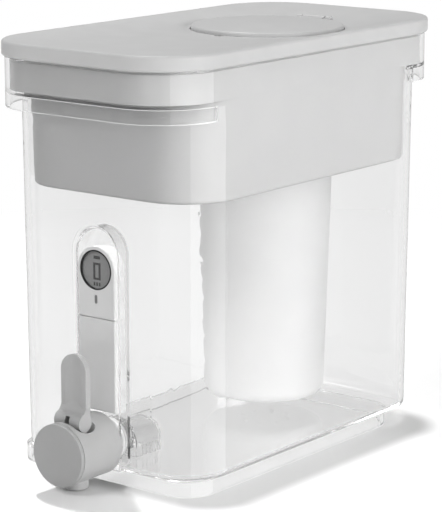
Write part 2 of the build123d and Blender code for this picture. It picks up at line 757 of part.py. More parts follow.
# ---------------------------------------------------------------- tap
def spigot_body():
    """Barrel with spout, valve chamber, lever saddle and threaded shank."""
    inside = rod_y(barrel_bore, barrel_front - 1, barrel_back_wall, 0, tap_z)
    skin = rod_y(barrel_radius, barrel_front, front_face, 0, tap_z)
    saddle = rod_x(saddle_radius + saddle_wall, -saddle_half - saddle_wall,
                   saddle_half + saddle_wall, pivot_y, pivot_z)
    chamber_outer = chamber_radius + chamber_wall
    chamber = rod_z(chamber_outer, spout_bottom + barrel_wall, pivot_z, 0, spout_y)
    duct = rod_y(water_bore + duct_wall, spout_y, front_face, 0, tap_z)
    shape = skin - inside + ((saddle + chamber + duct) & skin)
    spout = rod_z(spout_radius, spout_bottom, tap_z - chamber_radius, 0, spout_y)
    spout = fillet(edges_at(spout, Axis.Z, spout_bottom), spout_lip_round)
    shape += spout - rod_y(barrel_bore, barrel_front, barrel_back_wall, 0, tap_z)
    shape += rod_y(neck_hub_radius, front_face, hub_back, 0, tap_z)
    shape += rod_y(shank_radius, hub_back, shank_end, 0, tap_z)
    shape += rod_y(shank_nose_radius, shank_end, shank_end + shank_nose, 0, tap_z)
    pocket = rod_x(saddle_radius, -saddle_half, saddle_half, pivot_y, pivot_z)
    shape -= fillet(pocket.edges().filter_by(GeomType.CIRCLE), saddle_round)
    shape -= rod_z(chamber_radius, chamber_floor, pivot_z, 0, spout_y)
    shape -= rod_z(spout_bore, 0, chamber_floor + 1, 0, spout_y)
    shape -= rod_y(water_bore, spout_y, 0, 0, tap_z)
    shape += ring_z(spout_bore + seat_wall, spout_bore, chamber_floor, chamber_floor + seat_rise,
                    spout_y)
    hook_room = link_pin_half + ear_gap
    rear = pivot_y + math.hypot(hook_y, hook_z) + hook_wall + hook_slack
    shape -= block(-hook_room, hook_room, spout_y, rear, bonnet_bottom + bonnet_height,
                   tap_z + barrel_radius - barrel_wall / 2)
    for side in (-1, 1):
        shape += ear(side)
    shape -= rod_x(lever_pin_radius, -saddle_half, saddle_half, pivot_y, pivot_z)
    turn = niche_inside + 2 * inner_gasket_thickness
    while turn < shank_end - thread_pitch / 2:
        groove = ring_y(shank_radius + 1, shank_radius - thread_depth, turn,
                        turn + thread_pitch / 2, tap_z)
        shape -= groove
        turn += thread_pitch
    return shape


def ear(side):
    """One ear of the saddle, which carries an end of the lever's pin."""
    x0 = min(side * ear_start, side * (ear_start + ear_thickness))
    foot = pivot_z - saddle_radius - saddle_wall / 2
    shape = block(x0, x0 + ear_thickness, pivot_y - ear_half, pivot_y + ear_half, foot, pivot_z)
    return shape + rod_x(ear_head, x0, x0 + ear_thickness, pivot_y, pivot_z)


def spigot_cap():
    """Front disc with a plug that snaps into the barrel."""
    shape = rod_y(barrel_radius, cap_front, barrel_front - seam_gap, 0, tap_z)
    shape = fillet(shape.edges().filter_by(GeomType.CIRCLE), cap_edge_round)
    plug = barrel_bore - seam_gap
    return shape + ring_y(plug, plug - cap_plug_wall, barrel_front - seam_gap - cap_thickness / 2,
                          barrel_front + cap_plug_depth, tap_z)


def gaskets():
    """Rubber washers on both faces of the niche's back wall."""
    bore = shank_radius + nut_clearance
    outer = ring_y(neck_hub_radius, bore, hub_back, niche_back, tap_z)
    inner = ring_y(nut_radius, bore, niche_inside, nut_front, tap_z)
    return outer, inner


def lock_nut():
    """Clear nut with finger ribs."""
    end = nut_front + nut_length
    shape = rod_y(nut_radius - nut_rib_radius, nut_front, end, 0, tap_z)
    for index in range(nut_ribs):
        angle = 2 * math.pi * index / nut_ribs
        reach = nut_radius - nut_rib_radius
        shape += rod_y(nut_rib_radius, nut_front, end, reach * math.sin(angle),
                       tap_z + reach * math.cos(angle))
    return shape - rod_y(shank_radius + nut_clearance, nut_front - 1, end + 1, 0, tap_z)


def inlet_cup():
    """Clear slotted cup over the shank's end, open towards the tank's floor."""
    start = shank_end
    end = start + cup_length
    foot = floor_top + cup_lift
    shape = front_prism(arch(cup_half, cup_arch_z, foot), start, end)
    shape = fillet(edges_at(shape, Axis.Y, end).filter_by_position(Axis.Z, foot + 1, 60),
                   cup_round)
    hollow = front_prism(arch(cup_half - cup_wall, cup_arch_z, foot - 1), start + cup_wall,
                         end - cup_wall)
    hollow = fillet(edges_at(hollow, Axis.Y, end - cup_wall).filter_by_position(
        Axis.Z, foot, 60), cup_round - cup_wall)
    shape -= hollow
    shape -= rod_y(shank_nose_radius + nut_clearance, start - 1, start + cup_wall + 1, 0, tap_z)
    pitch = (cup_length - 2 * cup_round) / cup_slots
    for index in range(cup_slots):
        y = start + cup_round + (index + 0.5) * pitch
        shape -= block(-cup_half - 1, cup_half + 1, y - cup_slot_width / 2,
                       y + cup_slot_width / 2, foot - 1, foot + cup_slot_height)
    return shape


# ---------------------------------------------------------------- lever
def at_pivot(sketch, x0, x1):
    """Prism across the tank on a Y-Z sketch drawn about the lever's pivot."""
    return Pos(0, pivot_y, pivot_z) * side_prism(sketch, x0, x1)


def lift_travel():
    """Rise of the lift point over the lever's swing."""
    start = math.atan2(hook_z, hook_y)
    end = start + math.radians(lever_swing)
    reach = math.hypot(hook_y, hook_z)
    return reach * (math.sin(end) - math.sin(start))


def hook(side):
    """Slotted lug that lifts the link pin."""
    rise = lift_travel()
    swing = math.radians(lever_swing)
    end_y = hook_y * math.cos(swing) + (hook_z + rise) * math.sin(swing)
    end_z = -hook_y * math.sin(swing) + (hook_z + rise) * math.cos(swing)
    slot_half = link_pin_radius + hook_slack
    outer_half = slot_half + hook_wall
    reach = math.hypot(hook_y, hook_z)
    tip = Pos(hook_y, hook_z) * Circle(outer_half)
    web = Rot(0, 0, math.degrees(math.atan2(hook_z, hook_y))) \
        * Pos(reach / 2, 0) * Rectangle(reach, 2 * outer_half)
    run = math.hypot(end_y - hook_y, end_z - hook_z)
    lean = math.degrees(math.atan2(end_z - hook_z, end_y - hook_y))
    slot = Pos((hook_y + end_y) / 2, (hook_z + end_z) / 2) \
        * SlotOverall(run + 2 * slot_half, 2 * slot_half, rotation=lean)
    x0 = min(side * hook_start, side * (hook_start + hook_thickness))
    return at_pivot(tip + web - slot, x0, x0 + hook_thickness)


def ear_slot(side):
    """Room for one ear inside the knuckle, over the whole swing."""
    swing = math.radians(lever_swing)
    half = ear_half + ear_gap
    reach = knuckle_radius + 2 * tool_overrun
    lean_y = -half * math.cos(swing)
    lean_z = half * math.sin(swing)
    end_y = lean_y - reach * math.sin(swing)
    end_z = lean_z - reach * math.cos(swing)
    wedge = Polygon((lean_y, lean_z), (end_y, end_z), (end_y, -reach), (half, -reach),
                    (half, 0), align=None)
    inner = side * (ear_start - ear_gap)
    outer = side * (ear_start + ear_thickness + ear_gap)
    return at_pivot(wedge + Circle(ear_head + ear_gap), min(inner, outer), max(inner, outer))


def lever():
    """Upright thumb plate on a slotted knuckle, with two lift hooks below."""
    front = lever_back - lever_thickness
    crown = lever_top - knuckle_half
    plate = front_prism(arch(knuckle_half, crown, pivot_z), front, lever_back)
    plate = fillet(plate.edges().filter_by_position(Axis.Z, crown - 1, lever_top + 1),
                   lever_edge_round)
    plate -= rod_z(lever_dish_radius, pivot_z + knuckle_radius, lever_top + 1, 0,
                   front - lever_dish_radius + lever_dish)
    knuckle = rod_x(knuckle_radius, -knuckle_half, knuckle_half, pivot_y, pivot_z)
    with BuildSketch() as scoop:
        with BuildLine():
            base_y = front - lever_scoop_reach
            base_z = pivot_z + lever_scoop_foot
            peak_z = pivot_z + lever_scoop_rise
            back_y = front + lever_thickness / 2
            middle = (front - lever_scoop_bend, base_z + lever_scoop_bend_rise)
            ThreePointArc((base_y, base_z), middle, (front + lever_dish, peak_z))
            Line((front + lever_dish, peak_z), (back_y, peak_z))
            Line((back_y, peak_z), (back_y, pivot_z))
            Line((back_y, pivot_z), (base_y, base_z))
        make_face()
    shape = plate + knuckle + side_prism(scoop.sketch, -knuckle_half, knuckle_half)
    reach = knuckle_radius + tool_overrun
    slot = Pos(0, (stem_slot_rise - reach) / 2) * Rectangle(2 * reach, stem_slot_rise + reach)
    shape -= at_pivot(slot, -stem_slot, stem_slot)
    for side in (-1, 1):
        shape += hook(side)
        shape -= ear_slot(side)
    bore_half = ear_start + ear_thickness + ear_gap
    return shape - rod_x(lever_pin_radius + pin_clearance, -bore_half, bore_half, pivot_y, pivot_z)


def lever_pin():
    """Steel pin held in the saddle's ears."""
    half = ear_start + ear_thickness
    return rod_x(lever_pin_radius, -half, half, pivot_y, pivot_z)


# ---------------------------------------------------------------- valve
def valve_stem():
    """Rod with a flat head that reaches back to the link pin."""
    seat_top = chamber_floor + seat_rise
    lift_y = pivot_y + hook_y
    lift_z = pivot_z + hook_z
    head_bottom = lift_z - stem_head_height / 2
    shape = rod_z(stem_radius, seat_top + seat_cup_height / 2, head_bottom + 1, 0, spout_y)
    shape += block(-stem_half, stem_half, spout_y - stem_radius, lift_y + stem_head_tail,
                   head_bottom, lift_z + stem_head_height / 2)
    return shape - rod_x(link_pin_radius, -stem_half - 1, stem_half + 1, lift_y, lift_z)


def link_pin():
    """Pin that joins the stem to the lever's hooks."""
    return rod_x(link_pin_radius, -link_pin_half, link_pin_half, pivot_y + hook_y,
                 pivot_z + hook_z)


def seat_cup():
    """Rubber cup that closes the spout."""
    seat_top = chamber_floor + seat_rise
    shape = rod_z(seat_cup_radius, seat_top, seat_top + seat_cup_height / 2, 0, spout_y)
    hub_top = seat_top + seat_cup_height
    shape += rod_z(seat_cup_hub, seat_top, hub_top, 0, spout_y)
    return shape - rod_z(stem_radius, seat_top + seat_cup_height / 2, hub_top + 1, 0, spout_y)


def valve_bonnet():
    """Threaded plug that closes the valve chamber round the stem."""
    radius = chamber_radius - bonnet_clearance
    top = bonnet_bottom + bonnet_height
    shape = rod_z(radius, bonnet_bottom, top, 0, spout_y)
    shape -= rod_z(stem_radius + stem_fit, bonnet_bottom - 1, top + 1, 0, spout_y)
    shape -= rod_z(stem_radius + 2 * ring_section, bonnet_bottom - 1,
                   bonnet_bottom + 2 * ring_section, 0, spout_y)
    groove = ring_z(radius + 1, radius - thread_depth, bonnet_bottom + thread_depth,
                    bonnet_bottom + thread_depth + thread_pitch / 2, spout_y)
    return shape - groove


def stem_seal():
    """O-ring in the bonnet."""
    centre = stem_radius + ring_section
    return Pos(0, spout_y, bonnet_bottom + ring_section) * Torus(centre, ring_section - stem_fit)


def valve_spring():
    """Coil spring between the bonnet and the rubber cup."""
    low = chamber_floor + seat_rise + seat_cup_height / 2 + spring_wire + spring_seat_gap
    high = bonnet_bottom - spring_wire - spring_seat_gap
    path = Helix((high - low) / spring_turns, high - low, spring_radius)
    start = Plane(path @ 0, z_dir=path % 0)
    coil = sweep(start * Circle(spring_wire), path=path)
    return Pos(0, spout_y, low) * coil


# ---------------------------------------------------------------- meter column
def meter_shell(sketch_outer, sketch_inner):
    """Shell with a front skin, open at the back."""
    shape = front_prism(sketch_outer, meter_face, meter_back_front)
    shape = fillet(edges_at(shape, Axis.Y, meter_face), meter_edge_round)
    return shape - front_prism(sketch_inner, meter_face + meter_skin, meter_back_front + 1)


def screw_places(low, high):
    """Places of the meter's screws between two heights."""
    places = []
    for z in screw_rows:
        if low < z < high:
            places.append((-screw_x, z))
            places.append((screw_x, z))
    return places


def with_bosses(shape, low, high):
    """Screw bosses on the inside of a meter shell."""
    for x, z in screw_places(low, high):
        shape += rod_y(screw_radius + boss_wall, meter_face + meter_skin / 2, meter_back_front,
                       x, z)
        shape -= rod_y(screw_radius, meter_back_front - screw_pilot, meter_back_front + 1, x, z)
    return shape


def meter_front():
    """Upper shell with the display's hole and the key's slot."""
    bottom = meter_seam + meter_seam_gap / 2
    outer = arch(meter_half, meter_arch_z, bottom)
    inner = arch(meter_half - meter_side, meter_arch_z, bottom - 1)
    shape = with_bosses(meter_shell(outer, inner), bottom, meter_arch_z)
    shape -= rod_y(lcd_radius, meter_face - 1, meter_face + meter_skin + 1, 0, meter_arch_z)
    slot = pill(key_half_width + key_gap, key_half_height + key_gap, key_z)
    return shape - front_prism(slot, meter_face - 1, meter_face + meter_skin + 1)


def lower_panel():
    """Lower shell under the seam."""
    top = meter_seam - meter_seam_gap / 2
    height = top - meter_bottom
    outer = Pos(0, meter_bottom + height / 2) * Rectangle(2 * meter_half, height)
    inner_half = meter_half - meter_side
    inner = Pos(0, meter_bottom + height / 2 + meter_side) * Rectangle(2 * inner_half, height)
    return with_bosses(meter_shell(outer, inner), meter_bottom, top)


def cell_bay():
    """Opening of the cell bay in the back plate, as low and high corners in X and Z."""
    half = cell_radius + bay_margin
    low = cell_low_z - cell_radius - bay_margin
    high = cell_low_z + (cell_count - 1) * cell_pitch + cell_radius + bay_margin
    return half, low, high


def meter_back():
    """Rear plate of the column, with the cell bay's opening."""
    shape = front_prism(arch(meter_half, meter_arch_z, meter_bottom), meter_back_front,
                        meter_rear)
    half, low, high = cell_bay()
    shape -= block(-half, half, meter_back_front - 1, meter_rear + 1, low, high)
    for x, z in screw_places(meter_bottom, meter_arch_z):
        shape -= rod_y(screw_radius, meter_back_front - 1, meter_rear + 1, x, z)
        shape -= rod_y(screw_head_radius, meter_rear - screw_head_height, meter_rear + 1, x, z)
    return shape


def battery_cover():
    """Flush cover of the cell bay."""
    half, low, high = cell_bay()
    half -= key_gap
    return block(-half, half, meter_back_front, meter_rear, low + key_gap, high - key_gap)


def meter_screws():
    """Screws that hold the shells to the back plate."""
    screws = []
    for x, z in screw_places(meter_bottom, meter_arch_z):
        head_front = meter_rear - screw_head_height
        head_back = meter_rear - screw_head_gap
        screw = rod_y(screw_radius, meter_back_front - screw_grip, head_back, x, z)
        head = rod_y(screw_head_radius - screw_head_gap, head_front, head_back, x, z)
        slot = block(x - screw_head_radius, x + screw_head_radius, head_back - screw_slot_depth,
                     meter_rear + 1, z - screw_slot_half, z + screw_slot_half)
        screws.append(screw + head - slot)
    return Compound(screws)


def lcd_parts():
    """Black bezel ring, clear window, and the round display behind them."""
    bezel = ring_y(lcd_radius, lcd_radius - bezel_wall, meter_face - bezel_proud,
                   meter_face + bezel_depth, meter_arch_z)
    window_front = meter_face + window_recess
    window = rod_y(lcd_radius - bezel_wall, window_front, window_front + window_thickness,
                   0, meter_arch_z)
    panel_front = meter_face + meter_skin
    panel = rod_y(lcd_radius + lcd_margin, panel_front, panel_front + lcd_thickness,
                  0, meter_arch_z)
    return bezel, window, panel


def meter_board():
    """Circuit board behind the display, notched round the screw bosses."""
    shape = block(-board_half, board_half, board_rear - board_thickness, board_rear,
                  board_bottom, board_top)
    front = board_rear - board_thickness
    shape &= front_prism(arch(board_half, meter_arch_z, board_bottom), front, board_rear)
    for x, z in screw_places(meter_bottom, meter_arch_z):
        shape -= rod_y(screw_radius + boss_wall + boss_gap, front - 1, board_rear + 1, x, z)
    return shape


def coin_cells():
    """Button cells in the bay."""
    cells = []
    for index in range(cell_count):
        z = cell_low_z + index * cell_pitch
        cells.append(rod_y(cell_radius, meter_back_front - cell_thickness, meter_back_front,
                           0, z))
    return Compound(cells)


def meter_button():
    """Small upright key with a flange behind the front skin."""
    back = meter_face + meter_skin + key_gap / 2
    shape = front_prism(pill(key_half_width, key_half_height, key_z), meter_face + key_recess,
                        back + key_flange_thickness)
    flange = pill(key_half_width + key_flange, key_half_height + key_flange, key_z)
    return shape + front_prism(flange, back, back + key_flange_thickness)


def button_pad():
    """Rubber pad between the key and the board."""
    key_back = meter_face + meter_skin + key_gap / 2 + key_flange_thickness
    return rod_y(key_pad_radius, key_back + key_travel + key_gap, board_rear - board_thickness,
                 0, key_z)


def probes():
    """Two metal probes through the niche's back wall, and their rubber grommets."""
    pins = []
    seals = []
    for side in (-1, 1):
        x = side * probe_pitch / 2
        pin = rod_y(probe_radius, meter_rear + probe_gap, niche_inside + probe_reach, x, probe_z)
        bore = rod_y(probe_radius, niche_back - 1, niche_inside + 2 * probe_seal_lip, x, probe_z)
        seal = rod_y(probe_seal_radius - probe_seal_lip, niche_back, niche_inside, x, probe_z)
        seal += rod_y(probe_seal_radius, niche_inside, niche_inside + probe_seal_lip, x, probe_z)
        pins.append(pin)
        seals.append(seal - bore)
    return Compound(pins), Compound(seals)


# ---------------------------------------------------------------- the whole object
def all_parts():
    """Every piece by its name."""
    parts = {}
    parts["tank"] = tank()
    parts["reservoir"] = reservoir()
    parts["lid"] = lid()
    parts["fill_door"] = fill_door()
    parts["door_pin"] = door_pin()
    parts["filter_housing"] = filter_housing()
    parts["filter_cap"] = filter_cap()
    parts.update(filter_layers())
    parts["spigot_body"] = spigot_body()
    parts["spigot_cap"] = spigot_cap()
    parts["outer_gasket"], parts["inner_gasket"] = gaskets()
    parts["lock_nut"] = lock_nut()
    parts["inlet_cup"] = inlet_cup()
    parts["lever"] = lever()
    parts["lever_pin"] = lever_pin()
    parts["valve_stem"] = valve_stem()
    parts["link_pin"] = link_pin()
    parts["seat_cup"] = seat_cup()
    parts["valve_bonnet"] = valve_bonnet()
    parts["stem_seal"] = stem_seal()
    parts["valve_spring"] = valve_spring()
    parts["meter_front"] = meter_front()
    parts["lower_panel"] = lower_panel()
    parts["meter_back"] = meter_back()
    parts["battery_cover"] = battery_cover()
    parts["meter_screws"] = meter_screws()
    parts["lcd_bezel"], parts["display_window"], parts["lcd_panel"] = lcd_parts()
    parts["meter_board"] = meter_board()
    parts["coin_cells"] = coin_cells()
    parts["meter_button"] = meter_button()
    parts["button_pad"] = button_pad()
    parts["probe_pins"], parts["probe_seals"] = probes()
    return parts


os.makedirs("parts", exist_ok=True)
for name, shape in all_parts().items():
    export_step(Pos(0, tank_y, 0) * shape, "parts/" + name + ".step")
print("lift_mm", round(lift_travel(), 3), "tank_y_mm", round(tank_y, 3))
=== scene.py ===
import math

import bpy
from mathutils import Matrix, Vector


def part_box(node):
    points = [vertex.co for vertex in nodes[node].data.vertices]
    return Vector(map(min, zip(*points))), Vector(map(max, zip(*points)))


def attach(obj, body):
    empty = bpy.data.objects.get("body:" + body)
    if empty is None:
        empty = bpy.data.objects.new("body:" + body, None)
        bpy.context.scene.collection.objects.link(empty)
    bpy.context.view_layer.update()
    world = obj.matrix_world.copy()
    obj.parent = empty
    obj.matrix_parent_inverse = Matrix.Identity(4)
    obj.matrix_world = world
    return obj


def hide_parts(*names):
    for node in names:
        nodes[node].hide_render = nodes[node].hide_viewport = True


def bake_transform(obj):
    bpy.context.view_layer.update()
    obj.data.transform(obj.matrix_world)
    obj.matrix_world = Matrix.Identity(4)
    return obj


# Looks of the gravity water filter with tap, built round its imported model.
# Metres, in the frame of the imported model: X across, Y along with the tap at -Y, Z up.

MM = 0.001

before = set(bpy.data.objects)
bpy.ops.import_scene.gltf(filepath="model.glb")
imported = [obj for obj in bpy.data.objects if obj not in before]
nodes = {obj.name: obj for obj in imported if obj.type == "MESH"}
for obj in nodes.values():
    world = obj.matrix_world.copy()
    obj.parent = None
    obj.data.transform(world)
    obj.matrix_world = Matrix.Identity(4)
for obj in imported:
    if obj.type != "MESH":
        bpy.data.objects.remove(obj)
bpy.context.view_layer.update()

# ---------------------------------------------------------------- node helpers
NOISE_MIDDLE = (0.3, 0.7)        # range that most of a noise's values lie in
RELEASE_DEPTH = 9                # bounces after which light caught in clear plastic gets out


def math_node(tree, operation, first, second=0.0):
    """A Math node on two sockets or numbers, and its output."""
    node = tree.nodes.new("ShaderNodeMath")
    node.operation = operation
    for index, value in enumerate((first, second)):
        if isinstance(value, (int, float)):
            node.inputs[index].default_value = value
        else:
            tree.links.new(value, node.inputs[index])
    return node.outputs["Value"]


def vector_node(tree, operation, vector, numbers=(0.0, 0.0, 0.0)):
    """A Vector Math node on a socket and three numbers, and its output."""
    node = tree.nodes.new("ShaderNodeVectorMath")
    node.operation = operation
    tree.links.new(vector, node.inputs[0])
    node.inputs[1].default_value = numbers
    return node.outputs["Value" if operation == "LENGTH" else "Vector"]


def map_node(tree, value, span, low, high, smooth=False):
    """Goes from low to high while a value goes through a span."""
    node = tree.nodes.new("ShaderNodeMapRange")
    if smooth:
        node.interpolation_type = "SMOOTHSTEP"
    node.inputs["From Min"].default_value = span[0]
    node.inputs["From Max"].default_value = span[1]
    node.inputs["To Min"].default_value = low
    node.inputs["To Max"].default_value = high
    tree.links.new(value, node.inputs["Value"])
    return node.outputs["Result"]


def blend_level(tree, share, first, second):
    """A value that goes from the first to the second, each a socket or a number, with a share."""
    mix = tree.nodes.new("ShaderNodeMix")
    tree.links.new(share, mix.inputs["Factor"])
    for socket, value in (("A", first), ("B", second)):
        if isinstance(value, (int, float)):
            mix.inputs[socket].default_value = value
        else:
            tree.links.new(value, mix.inputs[socket])
    return mix.outputs["Result"]


def blend_greys(tree, share, first, second):
    """A colour that goes from the first grey level to the second with a share."""
    mix = tree.nodes.new("ShaderNodeMix")
    mix.data_type = "RGBA"
    mix.inputs["A"].default_value = grey(first)
    mix.inputs["B"].default_value = grey(second)
    tree.links.new(share, mix.inputs["Factor"])
    return mix.outputs["Result"]


def blend_shaders(tree, share, first, second):
    """A shader that goes from the first to the second with a share."""
    mix = tree.nodes.new("ShaderNodeMixShader")
    tree.links.new(share, mix.inputs["Fac"])
    tree.links.new(first, mix.inputs[1])
    tree.links.new(second, mix.inputs[2])
    return mix.outputs["Shader"]


def place_in_frame(tree):
    """The place on a surface, in the frame's coordinates."""
    return tree.nodes.new("ShaderNodeTexCoord").outputs["Object"]


def axes_of(tree, vector):
    """The outputs X, Y and Z of a vector."""
    parts = tree.nodes.new("ShaderNodeSeparateXYZ")
    tree.links.new(vector, parts.inputs["Vector"])
    return parts.outputs


def noise(tree, size, detail=2.0):
    """Noise with features of one size in metres."""
    texture = tree.nodes.new("ShaderNodeTexNoise")
    texture.inputs["Scale"].default_value = 1 / size
    texture.inputs["Detail"].default_value = detail
    tree.links.new(place_in_frame(tree), texture.inputs["Vector"])
    return texture.outputs["Fac"]


def plan_distance(tree, place, centre, half_size, corner):
    """Distance in plan outside a rounded rectangle, and below zero inside it."""
    shift = (centre[0], centre[1], 0.0)
    flat = vector_node(tree, "MULTIPLY", place, (1.0, 1.0, 0.0))
    size = vector_node(tree, "ABSOLUTE", vector_node(tree, "SUBTRACT", flat, shift))
    straight = (half_size[0] - corner, half_size[1] - corner, 0.0)
    outside = vector_node(tree, "MAXIMUM", vector_node(tree, "SUBTRACT", size, straight))
    return math_node(tree, "SUBTRACT", vector_node(tree, "LENGTH", outside), corner)


def seen_directly(tree):
    """1 on rays from the eye, also through glass and off gloss, and 0 on rays that light things."""
    path = tree.nodes.new("ShaderNodeLightPath")
    seen = path.outputs["Is Camera Ray"]
    for kind in ("Is Glossy Ray", "Is Transmission Ray"):
        seen = math_node(tree, "MAXIMUM", seen, path.outputs[kind])
    first = math_node(tree, "LESS_THAN", path.outputs["Diffuse Depth"], 0.5)
    return math_node(tree, "MULTIPLY", seen, first)


def caught(tree):
    """1 on rays that have bounced about in clear plastic for long, and 0 on others."""
    path = tree.nodes.new("ShaderNodeLightPath")
    return math_node(tree, "GREATER_THAN", path.outputs["Ray Depth"], RELEASE_DEPTH - 0.5)


def grey(level):
    """An sRGB grey from 0 to 255 as a linear colour."""
    share = level / 255
    linear = share / 12.92 if share <= 0.04045 else ((share + 0.055) / 1.055) ** 2.4
    return (linear, linear, linear, 1.0)


# ---------------------------------------------------------------- camera and lamps
IMAGE_HEIGHT_PX = 512
FOCAL_LENGTH_PX = 2302.0
SENSOR_MM = 36.0
CAMERA_REACH = 50.0
CAMERA_PLACE = (0.91683, -1.169935, 0.45112)
CAMERA_AZIMUTH = 37.94           # degrees
CAMERA_ELEVATION = 12.40         # degrees

LAMP_AIM = (0.0, 0.0, 0.12)
KEY_PLACE = (-0.70, 0.50, 1.75)
# name: place, width and height of the lamp, power in watts, what it lights, what shades it
LAMPS = {
    "key_back_left": (KEY_PLACE, (0.12, 0.12), 15.0, "object", "front"),
    "key_on_floor": (KEY_PLACE, (0.12, 0.12), 30.0, "floor", "front"),
    "side_right": ((2.20, -0.10, 0.64), (1.60, 0.50), 34.0, "not_filter", "object"),
    "front_high": ((-0.45, -1.60, 1.55), (0.90, 0.90), 18.0, "not_reservoir", "not_lever"),
    "reservoir_front": ((0.35, -1.65, 1.20), (0.90, 0.90), 9.5, "reservoir", "object"),
    "filter_fill": ((1.20, -1.50, 0.30), (1.60, 0.90), 16.2, "filter", "object"),
    "back_fill": ((-1.50, 1.70, 0.14), (1.40, 0.24), 13.0, "object", "object"),
}
FRONT_PIECES = ("tank", "spigot_body", "spigot_cap", "lever", "meter_front", "lower_panel",
                "lock_nut", "inlet_cup")             # the pieces that shade the key
FILTER_SHELLS = ("filter_housing", "filter_cap")     # white cup that gets a light of its own


def make_camera():
    """Camera at the photograph's viewing angle."""
    data = bpy.data.cameras.new("camera")
    data.sensor_width = SENSOR_MM
    data.lens = SENSOR_MM * FOCAL_LENGTH_PX / IMAGE_HEIGHT_PX
    data.clip_end = CAMERA_REACH
    camera = bpy.data.objects.new("camera", data)
    camera.location = CAMERA_PLACE
    tilt = math.radians(90 - CAMERA_ELEVATION)
    camera.rotation_euler = (tilt, 0.0, math.radians(CAMERA_AZIMUTH))
    bpy.context.scene.collection.objects.link(camera)
    bpy.context.scene.camera = camera


def group_of(name, members):
    """A collection outside the scene, for a lamp's list of pieces."""
    group = bpy.data.collections.new(name)
    for member in members:
        group.objects.link(member)
    return group


def lit_groups(floor, added):
    """The groups of pieces that a lamp can light."""
    insert = [nodes["reservoir"]]
    shells = [nodes[name] for name in FILTER_SHELLS]
    rest = [one for one in nodes.values() if one not in insert + shells] + added
    return {
        "object": group_of("lit_object", insert + shells + rest),
        "floor": group_of("lit_floor", [floor]),
        "not_filter": group_of("lit_without_filter", [floor] + insert + rest),
        "not_reservoir": group_of("lit_without_reservoir", [floor] + shells + rest),
        "reservoir": group_of("lit_reservoir", insert),
        "filter": group_of("lit_filter", shells),
    }


def shade_groups():
    """The groups of pieces that can hold a lamp's light back."""
    front = [nodes[name] for name in FRONT_PIECES]
    not_lever = [node for name, node in nodes.items() if name != "lever"]
    return {
        "object": group_of("shades_object", nodes.values()),
        "front": group_of("shades_front", front),
        "not_lever": group_of("shades_without_lever", not_lever),
    }


def make_lamps(floor, added):
    """Lamps that face the object, each with what it lights and what shades it."""
    lit = lit_groups(floor, added)
    shades = shade_groups()
    for name, (place, (width, height), power, target, casters) in LAMPS.items():
        data = bpy.data.lights.new(name, "AREA")
        data.shape = "RECTANGLE"
        data.size = width
        data.size_y = height
        data.energy = power
        lamp = bpy.data.objects.new(name, data)
        lamp.location = place
        aim = Vector(LAMP_AIM) - Vector(place)
        lamp.rotation_euler = aim.to_track_quat("-Z", "Y").to_euler()
        lamp.visible_transmission = False
        lamp.visible_glossy = not name.endswith("fill")
        lamp.light_linking.receiver_collection = lit[target]
        lamp.light_linking.blocker_collection = shades[casters]
        bpy.context.scene.collection.objects.link(lamp)


# ---------------------------------------------------------------- world
WORLD_LEVEL = 0.24               # light that the surroundings give to the object
SOFT_BOX_SPAN = (52.0, 134.0)    # degrees from -Y towards +X where gloss shows a soft box
SOFT_BOX_LEVEL = 1.68
STUDIO_LEVEL = 0.4               # what gloss shows of the rest of the studio
THROUGH_LEVEL = 0.80             # what clear plastic shows of it
ZENITH_SHARE = 0.3               # and what is left of that overhead
DIMMING_SPAN = (0.05, 0.75)      # rise of a direction, from level at 0 to upright at 1, that dims it


def studio_level(tree, direction):
    """What gloss shows along a direction: a soft box to the right, and a dimmer studio."""
    axes = axes_of(tree, direction)
    ahead = math_node(tree, "MULTIPLY", axes["Y"], -1.0)
    azimuth = math_node(tree, "ARCTAN2", axes["X"], ahead)
    low, high = (math.radians(limit) for limit in SOFT_BOX_SPAN)
    past_low = math_node(tree, "GREATER_THAN", azimuth, low)
    before_high = math_node(tree, "LESS_THAN", azimuth, high)
    inside = math_node(tree, "MULTIPLY", past_low, before_high)
    return map_node(tree, inside, (0.0, 1.0), STUDIO_LEVEL, SOFT_BOX_LEVEL)


def make_world():
    """White to the eye, a studio that darkens upwards to gloss, and a plain light."""
    world = bpy.data.worlds.new("world")
    world.use_nodes = True
    tree = world.node_tree
    tree.nodes.clear()
    output = tree.nodes.new("ShaderNodeOutputWorld")
    background = tree.nodes.new("ShaderNodeBackground")
    background.inputs["Color"].default_value = (1.0, 1.0, 1.0, 1.0)
    direction = tree.nodes.new("ShaderNodeTexCoord").outputs["Generated"]
    rise = axes_of(tree, direction)["Z"]
    dimming = map_node(tree, rise, DIMMING_SPAN, 1.0, ZENITH_SHARE, smooth=True)
    path = tree.nodes.new("ShaderNodeLightPath")
    gloss = studio_level(tree, direction)
    through = math_node(tree, "MAXIMUM", path.outputs["Is Transmission Ray"], caught(tree))
    bent = blend_level(tree, through, gloss, THROUGH_LEVEL)
    dimmed = math_node(tree, "MULTIPLY", bent, dimming)
    shown = blend_level(tree, path.outputs["Is Camera Ray"], dimmed, 1.0)
    level = blend_level(tree, seen_directly(tree), WORLD_LEVEL, shown)
    tree.links.new(level, background.inputs["Strength"])
    tree.links.new(background.outputs["Background"], output.inputs["Surface"])
    bpy.context.scene.world = world


